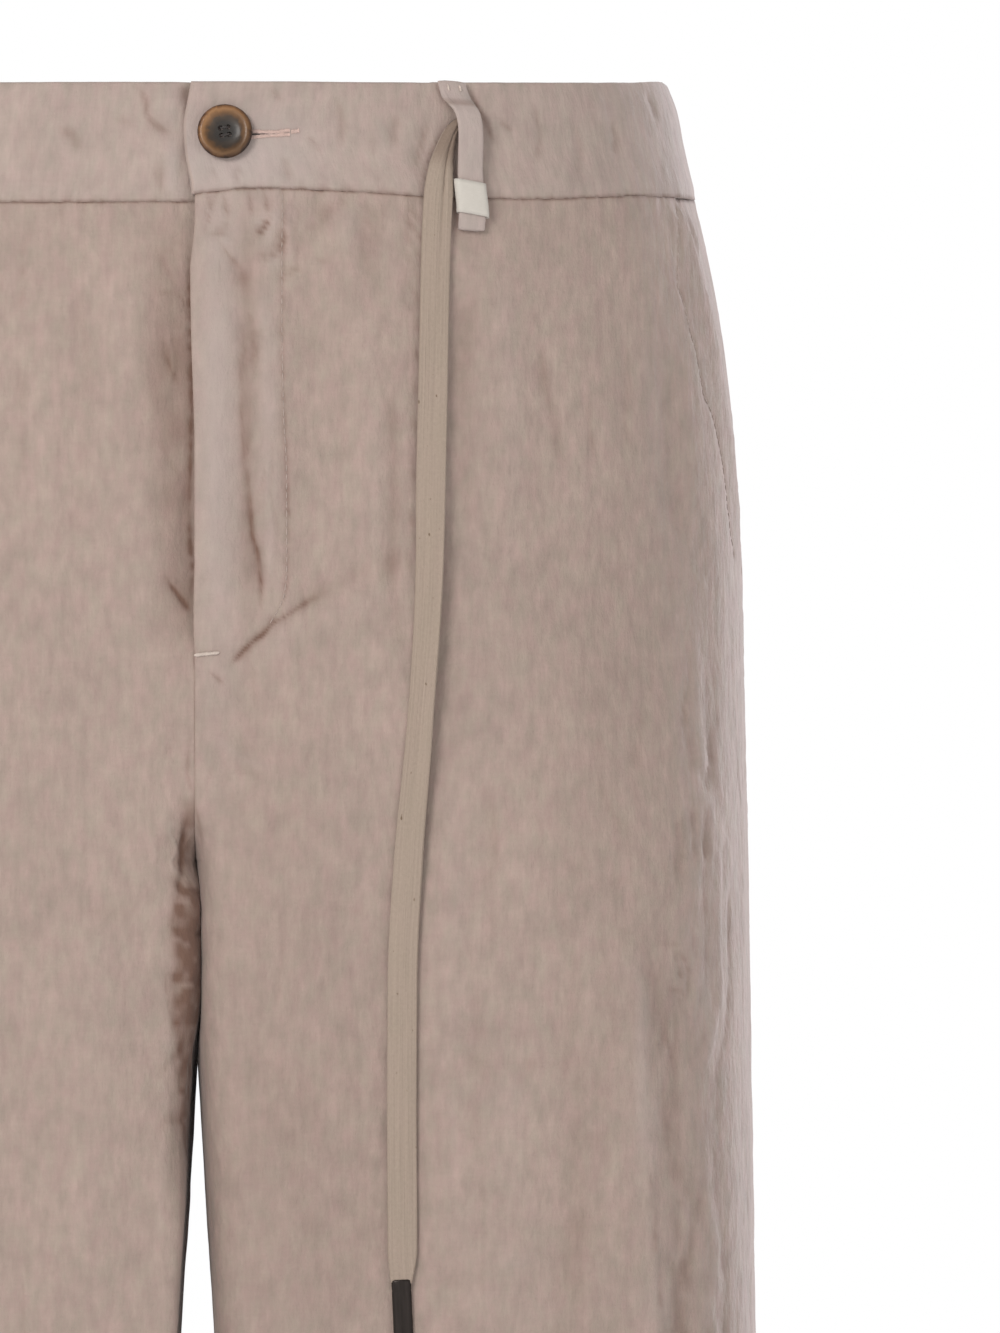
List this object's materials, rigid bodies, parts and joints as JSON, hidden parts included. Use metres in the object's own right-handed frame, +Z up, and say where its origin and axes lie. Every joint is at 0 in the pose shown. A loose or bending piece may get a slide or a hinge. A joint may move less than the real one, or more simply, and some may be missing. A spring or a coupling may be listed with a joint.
{
  "type": "drawstring shorts",
  "caption": "Knee-length linen shorts with a buttoned waistband, fly, slant pockets, belt loops and one hanging drawstring end, filled out as worn.",
  "frame": {"origin": "middle of the waist, half-way down the waistband, where the wearer holds the shorts up", "axes": "+Z up, out of the waist opening; the front faces -Y; +X is the wearer's left"},
  "size_m": [0.3582, 0.2544, 0.492],
  "materials": {
    "linen": "washed plain-weave linen, garment-dyed",
    "band_linen": "washed plain-weave linen, garment-dyed",
    "woven_label": "smooth woven tab, blank",
    "horn": "polished mottled brown horn",
    "twill_tape": "flat woven tape",
    "dark_metal": "dark satin"
  },
  "bodies": {
    "root": {"front_left": "linen", "front_right": "linen", "back_left": "linen", "back_right": "linen", "waistband_left": "band_linen", "waistband_right": "band_linen", "pocket_facing_left": "linen", "pocket_facing_right": "linen", "belt_loop_front_left": "band_linen", "belt_loop_front_right": "band_linen", "belt_loop_back_left": "band_linen", "belt_loop_back_right": "band_linen", "belt_loop_centre_back": "band_linen", "label": "woven_label", "button": "horn", "drawstring": "twill_tape", "drawstring_tip": "dark_metal"}
  },
  "joints": []
}
